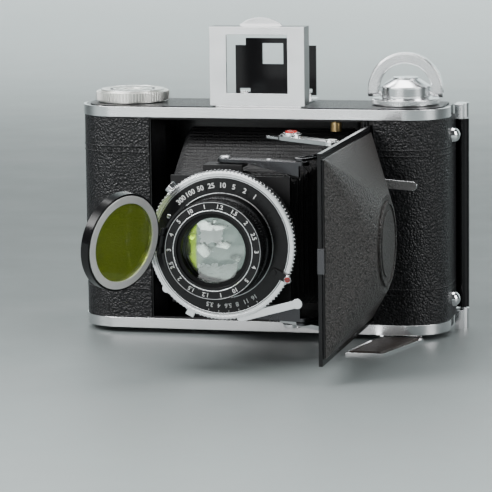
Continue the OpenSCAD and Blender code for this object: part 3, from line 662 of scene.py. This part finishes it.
def make_stage():
    """Grey sweep: a floor that curves up into the backdrop, with painted light along it, darkest a
    little behind the object and paler at the top.
    """
    verts, faces = [], []
    start_y, bend_y, bend_r, top_z, half_width = -1.6, 0.9, 0.6, 3.0, 3.0
    profile = [(start_y, 0.0), (bend_y, 0.0)]
    for angle in range(10, 100, 10):
        a = math.radians(angle)
        profile.append((bend_y + bend_r * math.sin(a), bend_r - bend_r * math.cos(a)))
    profile.append((bend_y + bend_r, top_z))
    for y, z in profile:
        for x in (-half_width, half_width):
            verts.append((x / MM, y / MM, z / MM + GROUND_Z))
    for i in range(len(profile) - 1):
        p = 2 * i
        faces.append((p, p + 1, p + 3, p + 2))
    mat = material("grey_sweep", (0.3, 0.3, 0.3), roughness=0.55, Specular_IOR_Level=0.3)
    vary_roughness(mat, 30.0, 0.4, 0.55)
    place = node(mat, "ShaderNodeTexCoord")
    split = node(mat, "ShaderNodeSeparateXYZ")
    spread = node(mat, "ShaderNodeMapRange", From_Min=SWEEP_NEAR, From_Max=SWEEP_FAR)
    ramp = node(mat, "ShaderNodeValToRGB")
    ramp.color_ramp.interpolation = "B_SPLINE"
    while len(ramp.color_ramp.elements) < len(SWEEP_PAINTED_LIGHT):
        ramp.color_ramp.elements.new(0.5)
    for stop, (y, tone) in zip(ramp.color_ramp.elements, SWEEP_PAINTED_LIGHT):
        stop.position = (y - SWEEP_NEAR) / (SWEEP_FAR - SWEEP_NEAR)
        stop.color = (tone * 0.89, tone, tone, 1)
    join(mat, place, "Object", split, "Vector")
    join(mat, split, "Y", spread, "Value")
    join(mat, spread, "Result", ramp, "Fac")
    join(mat, ramp, "Color", mat.node_tree.nodes["Principled BSDF"], "Base Color")
    floor = new_piece("studio_sweep", None, mat, verts, faces)
    for poly in floor.data.polygons:
        poly.use_smooth = True


def area_light(name, at, aim, width, height, power):
    """A white soft box, its place and size in metres and its power in watts."""
    data = bpy.data.lights.new(name, "AREA")
    data.shape = "RECTANGLE"
    data.size, data.size_y, data.energy = width, height, power
    obj = bpy.data.objects.new(name, data)
    obj.location = at
    obj.rotation_euler = (Vector(aim) - Vector(at)).to_track_quat("-Z", "Y").to_euler()
    bpy.context.collection.objects.link(obj)


def make_lights():
    """Soft boxes round the object and over the backdrop, and a faint light from all sides."""
    aim = (0, 0, 0.04)
    area_light("key_left", (-0.75, -0.55, 0.85), aim, 0.6, 0.6, 22.0)
    area_light("fill_right", (1.0, -0.35, 0.5), aim, 0.5, 0.8, 9.0)
    area_light("top_box", (0.0, 0.1, 1.1), aim, 1.1, 0.7, 17.0)
    area_light("front_box", (-0.45, -1.5, 0.42), aim, 0.9, 0.7, 9.0)
    area_light("backdrop_glow", (0.0, 0.75, 1.1), (0, 1.5, 0.6), 2.2, 0.4, 18.0)
    world = bpy.context.scene.world or bpy.data.worlds.new("studio")
    bpy.context.scene.world = world
    world.use_nodes = True
    background = world.node_tree.nodes["Background"]
    background.inputs["Color"].default_value = (0.80, 0.84, 0.86, 1)
    background.inputs["Strength"].default_value = 0.08


# Where the view is taken from in metres, how it is turned in degrees, and its lens in millimetres
VIEW_AT = (0.22938, -0.96995, 0.17958)
VIEW_YAW = 13.757
VIEW_PITCH = 8.710
VIEW_ROLL = -0.712
VIEW_LENS = 213.9


def make_camera():
    """A long lens from the front right, a little above the folding camera."""
    yaw, pitch, roll = (math.radians(v) for v in (VIEW_YAW, VIEW_PITCH, VIEW_ROLL))
    level = math.cos(pitch)
    ahead = Vector((-math.sin(yaw) * level, math.cos(yaw) * level, -math.sin(pitch)))
    right = Vector((math.cos(yaw), math.sin(yaw), 0))
    up = right.cross(ahead)
    tilted = right * math.cos(roll) + up * math.sin(roll)
    upright = up * math.cos(roll) - right * math.sin(roll)
    data = bpy.data.cameras.new("view")
    data.sensor_width = 36
    data.lens = VIEW_LENS
    data.clip_end = 20
    cam = bpy.data.objects.new("view", data)
    turn = Matrix((tilted, upright, -ahead)).transposed().to_4x4()
    cam.matrix_world = Matrix.Translation(Vector(VIEW_AT)) @ turn
    bpy.context.collection.objects.link(cam)
    bpy.context.scene.camera = cam


# ---- Put together ----

cad_nodes = [o.name for o in bpy.data.objects if o.type == "MESH"]
for cad_node in cad_nodes:
    dress(cad_node, NODE_MATERIALS.get(cad_node, ENAMEL))
make_bellows()
make_body_details()
make_top_details()
make_lens_details()
make_strut_details()
make_door_details()
make_stage()
make_lights()
make_camera()
